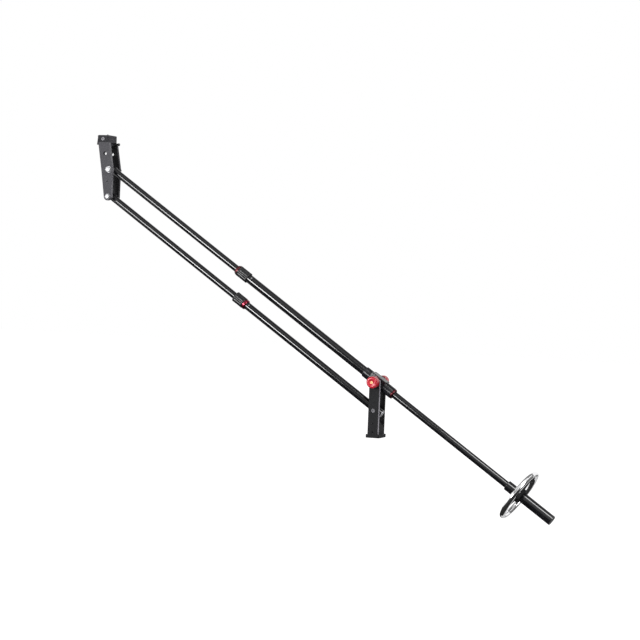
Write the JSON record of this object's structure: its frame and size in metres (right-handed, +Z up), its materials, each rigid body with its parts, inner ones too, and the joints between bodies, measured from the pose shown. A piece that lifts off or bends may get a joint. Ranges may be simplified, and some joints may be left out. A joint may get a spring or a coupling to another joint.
{
  "type": "telescopic camera jib arm",
  "caption": "Camera jib arm with two parallel telescopic tubes on a tilting post, a levelled camera platform at the head and a chrome handwheel on the tail bar.",
  "frame": {"origin": "mouth of the threaded hole in the middle of the foot's bottom face", "axes": "+X horizontal along the arm towards the camera platform, +Y to the arm's left, +Z up"},
  "size_m": [1.7836, 0.2, 1.3056],
  "materials": {
    "black_anodised": "matte",
    "black_tube": "gloss",
    "grey_anodised": "satin",
    "bright_steel": "satin",
    "bright_aluminium": "satin",
    "brass": "satin",
    "chrome_rim": "gloss",
    "red_plastic": "gloss",
    "red_metal": "satin",
    "black_rubber": "matte",
    "black_plastic": "matte",
    "nylon": "matte"
  },
  "bodies": {
    "post": {"foot_block": "black_anodised", "post_plate_left": "black_anodised", "post_plate_right": "black_anodised", "post_screws": "bright_steel", "tilt_bushes": "brass", "lower_pivot_bolt": "bright_steel", "lower_pivot_nut": "bright_steel", "lower_pivot_spacers": "bright_steel"},
    "boom": {"boom_tube": "black_tube", "boom_sleeve": "black_anodised", "tilt_studs": "bright_steel", "friction_washers": "red_plastic", "sleeve_ring": "red_metal", "boom_collet": "nylon", "boom_rivets": "bright_steel", "rear_reducer": "black_anodised", "rear_tube": "black_tube", "weight_bar": "black_tube", "tail_cap": "black_plastic", "wheel_hub": "black_anodised", "wheel_rim": "chrome_rim", "wheel_set_screw": "bright_steel", "knob_washers": "bright_steel"},
    "left_knob": {"knob_left": "red_plastic", "knob_insert_left": "brass"},
    "right_knob": {"knob_right": "red_plastic", "knob_insert_right": "brass"},
    "upper_lock": {"upper_lock_nut": "black_anodised", "upper_lock_grip": "black_rubber", "upper_lock_ring": "red_metal"},
    "lower_lock": {"lower_lock_nut": "black_anodised", "lower_lock_grip": "black_rubber", "lower_lock_ring": "red_metal"},
    "lower_arm": {"lower_rod": "black_tube", "lower_rod_plug": "bright_steel", "lower_rod_rivets": "bright_steel"},
    "upper_draw": {"upper_stage": "black_tube", "upper_guide_ring": "nylon", "upper_head_plug": "bright_aluminium"},
    "lower_draw": {"lower_stage": "black_tube", "lower_head_plug": "bright_aluminium"},
    "head": {"head_plate_left": "grey_anodised", "head_plate_right": "grey_anodised", "head_block": "black_anodised", "head_screws": "bright_steel", "head_pivot_bolt": "bright_steel", "head_pivot_nut": "bright_steel", "head_link_bolt": "bright_steel", "head_link_nut": "bright_steel", "head_spacers": "bright_steel"},
    "jaw": {"clamp_jaw": "black_anodised"},
    "clamp": {"clamp_screw": "black_plastic"},
    "plate": {"camera_plate": "black_anodised", "plate_stop": "bright_steel", "plate_pad": "black_rubber"},
    "screw": {"camera_screw": "bright_steel"}
  },
  "joints": [
    {"name": "boom_tilt", "type": "hinge", "parent": "post", "child": "boom", "pos_m": [0, 0, 0.196], "axis": [0, -1, 0], "range_deg": [-84, 26]},
    {"name": "rod_tilt", "type": "hinge", "parent": "post", "child": "lower_arm", "pos_m": [0, 0, 0.096], "axis": [0, -1, 0], "range_deg": [-84, 26]},
    {"name": "upper_extend", "type": "slide", "parent": "boom", "child": "upper_draw", "axis": [0.829, 0, 0.5592], "range_m": [-0.52, 0]},
    {"name": "lower_extend", "type": "slide", "parent": "lower_arm", "child": "lower_draw", "axis": [0.829, 0, 0.5592], "range_m": [-0.52, 0]},
    {"name": "head_level", "type": "hinge", "parent": "upper_draw", "child": "head", "pos_m": [1.07112, 0, 0.91848], "axis": [0, -1, 0], "range_deg": [-26, 84]},
    {"name": "upper_lock_twist", "type": "hinge", "parent": "boom", "child": "upper_lock", "pos_m": [0.53058, 0, 0.55388], "axis": [0.829, 0, 0.5592], "range_deg": [0, 120]},
    {"name": "lower_lock_twist", "type": "hinge", "parent": "lower_arm", "child": "lower_lock", "pos_m": [0.53473, 0, 0.45668], "axis": [0.829, 0, 0.5592], "range_deg": [0, 120]},
    {"name": "left_knob_turn", "type": "hinge", "parent": "boom", "child": "left_knob", "pos_m": [0, 0.05, 0.196], "axis": [0, 1, 0], "range_deg": [0, 180]},
    {"name": "right_knob_turn", "type": "hinge", "parent": "boom", "child": "right_knob", "pos_m": [0, -0.05, 0.196], "axis": [0, 1, 0], "range_deg": [-180, 0]},
    {"name": "clamp_turn", "type": "hinge", "parent": "head", "child": "clamp", "pos_m": [1.08112, -0.019, 1.01348], "axis": [1, 0, 0], "range_deg": [0, 720]},
    {"name": "jaw_open", "type": "slide", "parent": "head", "child": "jaw", "axis": [1, 0, 0], "range_m": [0, 0.0016]},
    {"name": "plate_slide", "type": "slide", "parent": "head", "child": "plate", "axis": [0, 1, 0], "range_m": [0, 0.015]},
    {"name": "camera_screw_turn", "type": "hinge", "parent": "plate", "child": "screw", "pos_m": [1.10062, 0, 1.03848], "axis": [0, 0, 1], "continuous": true}
  ],
  "couplings": [
    {"joint": "rod_tilt", "follows": "boom_tilt", "ratio": 1},
    {"joint": "head_level", "follows": "boom_tilt", "ratio": -1},
    {"joint": "lower_extend", "follows": "upper_extend", "ratio": 1},
    {"joint": "clamp_turn", "follows": "jaw_open", "rad_per_m": 7854}
  ]
}
